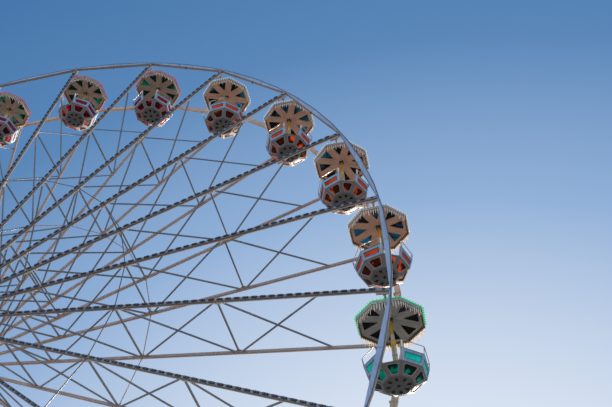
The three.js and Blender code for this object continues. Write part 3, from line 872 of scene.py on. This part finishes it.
seat_colours = [(0.02, 0.30, 0.26), (0.46, 0.08, 0.03), (0.30, 0.01, 0.05)]
seat_plastic = by_group(moulded, "seat_plastic", seat_colours, 0.35, 0.8, 5.0, 0.3)
hang("benches", tub_slots, seat_plastic, gather(seat(1), seat(5)), turned=True, stands=True)


# The tub's rails and trim: thin steel rods bent round above the benches, a post at each corner, dark
# caps along the panels' top edges, and black rubber round the upper windows.
def eased(points, cut, steps=5):
    """A path whose corners are rounded: each becomes a curve of the second degree between the points
    at that distance before and after it."""
    points = np.asarray(points, float)
    here, before, after = points[:, 1:-1], points[:, :-2], points[:, 2:]

    def towards(other):
        """The point at the cut's distance from the corner, at most 0.45 of the way to the next."""
        length = np.linalg.norm(other - here, axis=-1, keepdims=True)
        return here + np.minimum(cut, 0.45 * length) * unit(other - here)

    start, end = towards(before)[:, :, None], towards(after)[:, :, None]
    t = np.linspace(0, 1, steps)[:, None]
    curve = (1 - t) ** 2 * start + 2 * t * (1 - t) * here[:, :, None] + t ** 2 * end
    return np.concatenate([points[:, :1], curve.reshape(len(points), -1, 3), points[:, -1:]], 1)


panel_top, rail_level = (0.922, -1.850), (0.962, -1.586)
rail_paths = eased([[on_tub(panel_top, first, 0.10), on_tub(rail_level, first, 0.10),
                     on_tub(rail_level, first, 1.0), on_tub(rail_level, first + 1, 1.0),
                     on_tub(rail_level, first + 2, 0.90), on_tub(panel_top, first + 2, 0.90)]
                    for first in (1, 5)], 0.07)
rod = circle(0.012, 8)
rails = [run(rail_paths, rail_paths * [1, 1, 0], rod)]
for side in (1, 2, 5, 6):
    rails.append(bars(on_tub(panel_top, side, 1.0), on_tub(rail_level, side, 1.0), x_axis, rod))
cap_level = (0.912, -1.834)
caps = bars([on_tub(cap_level, side, 0.0) for side in panel_sides],
            [on_tub(cap_level, side, 1.0) for side in panel_sides], z_axis, square(0.014, 0.055))
gaskets = panel(upper, upper_margins, 0.022, [(0.95, -0.010), (1.12, -0.013), (1.12, -0.034), (0.95, -0.034)])
rail_steel = steel_paint("rail_steel", (0.46, 0.39, 0.33), roughness=0.35, metallic=0.6, rounding=0.003)
hang("rails", "pipe_pale", rail_steel, gather(*rails), turned=True, crease=50)
hang("panel_caps", "rail_dark", dark_paint, caps, turned=True)
rubber = moulded("window_rubber", (0.02, 0.02, 0.022), 0.6, 0.8, 20.0)
hang("window_rubber", "rail_dark", rubber, gaskets, turned=True)


# The towers: on each side two legs of square steel tube, flanged and bolted in four lengths, tied
# across twice and headed by a bearing block. Off-white paint, and a ladder up one leg.
tower_paint = steel_paint("tower_paint", (0.60, 0.61, 0.62), roughness=0.4)
dress(["near_tower", "far_tower"], tower_paint)


foot_x, beam_y, beam_top = 6.5, 4.6, 0.4
head_x, head_y = 0.242, 1.9


def leg(side, way, height):
    """A leg's middle at a height, and the directions along it, outwards from it and across it."""
    foot = np.array([way * foot_x, side * beam_y, beam_top + 0.0003])
    head = np.array([way * head_x, side * head_y, hub_height])
    along = unit(head - foot)
    out = unit(side * y_axis - side * along[1] * along)
    middle = foot + (height - foot[2]) / (head[2] - foot[2]) * (head - foot)
    return middle, along, out, np.cross(along, out)


around_plate = np.array([[x, y] for x in (-1, 0, 1) for y in (-1, 0, 1) if x or y])


def leg_fittings(side, way):
    """Three flanged joints, the gussets round the foot, and the anchor bolts through its plate."""
    parts = []
    for height in (3.6, 9.4, 15.2):
        middle, along, out, across = leg(side, way, height)
        parts.append(flange_pair(middle, along, out, square(0.60, 0.60, 0.03), 0.034))
        spots = middle + 0.255 * around_plate @ np.array([out, across])
        parts += bolts_both_ways(spots, along, 0.034, 0.022, 0.022)
    foot = np.array([way * foot_x, side * beam_y, beam_top + 0.06])
    anchors = foot + around_plate @ np.array([0.39 * x_axis, 0.29 * y_axis])
    parts.append(bolts(anchors, z_axis, 0.026, 0.05))
    for direction, start, end in ((x_axis, 0.16, 0.43), (y_axis, 0.16, 0.33)):
        across = np.cross(direction, z_axis)
        for facing in (-1, 1):
            outline = [[start, 0], [end, 0], [end, 0.05], [start + 0.04, 0.34], [start - 0.08, 0.34]]
            flat = np.array([foot + facing * x * direction + z * z_axis for x, z in outline])
            parts.append(loft([[flat - 0.012 * across, flat + 0.012 * across]]))
    return gather(*parts)


def tie_fittings(side):
    """Flange plates and their bolts near both ends of the two ties."""
    parts = []
    for height in (6.4, 12.4):
        for way in (-1, 1):
            middle = leg(side, way, height)[0] - way * 0.42 * x_axis
            parts.append(flange_pair(middle, x_axis, z_axis, square(0.38, 0.38, 0.02), 0.027))
            spots = middle + 0.155 * around_plate @ np.array([y_axis, z_axis])
            parts += bolts_both_ways(spots, x_axis, 0.027, 0.016, 0.016)
    return gather(*parts)


def bearing_cap(side):
    """A turned cover over the shaft's end, with its ring of bolts, on the block's outer face."""
    cover = turned_part([(0.34, 0), (0.34, 0.03), (0.30, 0.036), (0.27, 0.085), (0.24, 0.10), (0.06, 0.11),
                         (0.003, 0.112)], circle(1.0, 32))
    angle = np.radians(30.0 * np.arange(12))
    spots = np.stack([0.318 * np.cos(angle), 0.318 * np.sin(angle), 0.03 + 0 * angle], -1)
    heads = bolts(spots, z_axis, 0.014, 0.016)
    outwards = [[[1, 0, 0], [0, 0, -side], [0, side, 0]]]
    return repeated(gather(cover, heads), outwards, (0, side * 2.21, hub_height))


def ladder(side):
    """Two flat stringers, round rungs every 0.3 m and brackets, outside one leg."""
    heights = np.arange(2.6, 17.6, 0.285)
    middle, along, out, across = leg(side, 1, heights[:, None])
    line = middle + 0.37 * out
    half = 0.2 * across
    parts = [bars(line[0] + way * half - 0.1 * along, line[-1] + way * half + 0.1 * along,
                  out, square(0.05, 0.014)) for way in (-1, 1)]
    parts.append(bars(line - half, line + half, out, circle(0.013, 8)))
    for way in (-1, 1):
        edge = line[3::8] + way * half
        parts.append(bars(edge, edge - 0.17 * out, along, square(0.05, 0.012)))
    return gather(*parts)


base_paint = steel_paint("base_paint", (0.54, 0.56, 0.58), roughness=0.45)
dress(["base_frame"], base_paint)
for side, name in both_sides:
    fittings = gather(leg_fittings(side, -1), leg_fittings(side, 1), tie_fittings(side))
    piece(f"{name}_tower_joints", "base", "tower_white", tower_paint, fittings)
    piece(f"{name}_bearing_cap", "base", "tower_white", tower_paint, bearing_cap(side))
    piece(f"{name}_ladder", "base", "tower_white", tower_paint, ladder(side))


# The base: beams and sleepers of square steel tube on the ground, with end plates, bolted splice
# plates where the sleepers meet the beams, and lifting lugs on top.
def base_fittings():
    """End plates with their bolts, lugs, and splice plates with theirs, on both beams."""
    parts = []
    lug = np.array([[-0.11, 0], [0.11, 0], [0.11, 0.05], [0.05, 0.13], [-0.05, 0.13], [-0.11, 0.05]])
    for side in (-1, 1):
        for way in (-1, 1):
            end = np.array([way * 7.5, side * beam_y, beam_top / 2])
            parts.append(bars(end, end + 0.02 * way * x_axis, z_axis, square(0.37, 0.37, 0.02)))
            spots = end + 0.15 * around_plate @ np.array([y_axis, z_axis]) + 0.02 * way * x_axis
            parts.append(bolts(spots, way * x_axis, 0.014, 0.014))
            flat = np.column_stack([way * 7.2 + lug[:, 0], np.full(6, side * beam_y), beam_top + lug[:, 1]])
            parts.append(loft([[flat - 0.015 * y_axis, flat + 0.015 * y_axis]]))
        for x in (-6.5, -2.2, 2.2, 6.5):
            face = np.array([x, side * (beam_y + 0.2), beam_top / 2])
            parts.append(bars(face - 0.35 * x_axis, face + 0.35 * x_axis, z_axis, square(0.30, 0.03, 0.01)))
            spots = [face + [a, 0.015 * side, b] for a in (-0.29, -0.17, 0.17, 0.29) for b in (-0.1, 0.1)]
            parts.append(bolts(spots, side * y_axis, 0.016, 0.016))
    return gather(*parts)


piece("base_fittings", "base", "base_white", base_paint, base_fittings())


# The boarding platforms: ribbed aluminium decks on joists, with square posts and rails, toe boards
# and round balusters. Five steps lead up to each, with nosings and handrails.
deck_metal = steel_paint("deck_metal", (0.42, 0.43, 0.44), roughness=0.5, metallic=0.6)
dress(["near_platform", "far_platform", "near_stair", "far_stair"], deck_metal)


step_rise, step_run = 0.16, 0.29
post_x, post_y, gate_x, rail_foot_y = 3.54, 4.84, 0.98, 6.0


def deck_ribs(side):
    """Raised ribs along the deck, 0.1 m apart, and the nosings of the steps and of the deck."""
    y = side * np.arange(1.15, 4.9, 0.1)[:, None]
    line = y * y_axis + 0.801 * z_axis
    ribs = bars(line - 3.59 * x_axis, line + 3.59 * x_axis, z_axis, square(0.010, 0.030, 0.003))
    step = np.arange(1, 6)[:, None]
    edge = side * (6.06 - step_run * (step - 1)) * y_axis + step_rise * step * z_axis
    nosings = bars(edge - 0.94 * x_axis, edge + 0.94 * x_axis, z_axis, square(0.03, 0.05, 0.008))
    return gather(ribs, nosings)


def balusters(side):
    """Round balusters and toe boards between the posts at the deck's ends and outer edge."""
    parts = []
    for way in (-1, 1):
        plan = [(post_x, 1.2), (post_x, post_y), (gate_x, post_y)]
        end, corner, opening = np.array([[way * x, side * y, 0.79] for x, y in plan])
        for start, stop in ((end, corner), (corner, opening)):
            count = int(np.linalg.norm(stop - start) / 0.13)
            spots = start + (np.arange(1, count) / count)[:, None] * (stop - start)
            parts.append(bars(spots, spots + 1.09 * z_axis, x_axis, circle(0.009, 8)))
            parts.append(bars(start + 0.07 * z_axis, stop + 0.07 * z_axis, z_axis, square(0.12, 0.014)))
    return gather(*parts)


def stair_rails(side):
    """A bent tube on each side of the steps, on a post at the foot, with a lower rail."""
    parts = []
    for way in (-1, 1):
        x, top, foot = way * gate_x, side * post_y, side * rail_foot_y
        bends = [[x, top, 1.876], [x, top + side * 0.10, 1.876], [x, foot, 1.20], [x, foot, 0.0]]
        parts.append(run(eased([bends], 0.12), x_axis, circle(0.021, 12)))
        parts.append(bars([x, top, 1.33], [x, foot, 0.66], x_axis, circle(0.016, 8)))
        parts.append(bars([x, foot, 0], [x, foot, 0.012], x_axis, square(0.12, 0.12, 0.01)))
    return gather(*parts)


for side, name in both_sides:
    piece(f"{name}_deck_ribs", "base", "deck_grey", deck_metal, deck_ribs(side))
    piece(f"{name}_balusters", "base", "deck_grey", deck_metal, balusters(side))
    piece(f"{name}_stair_rails", "base", "deck_grey", deck_metal, stair_rails(side))

bpy.context.scene.view_settings.view_transform = "Standard"
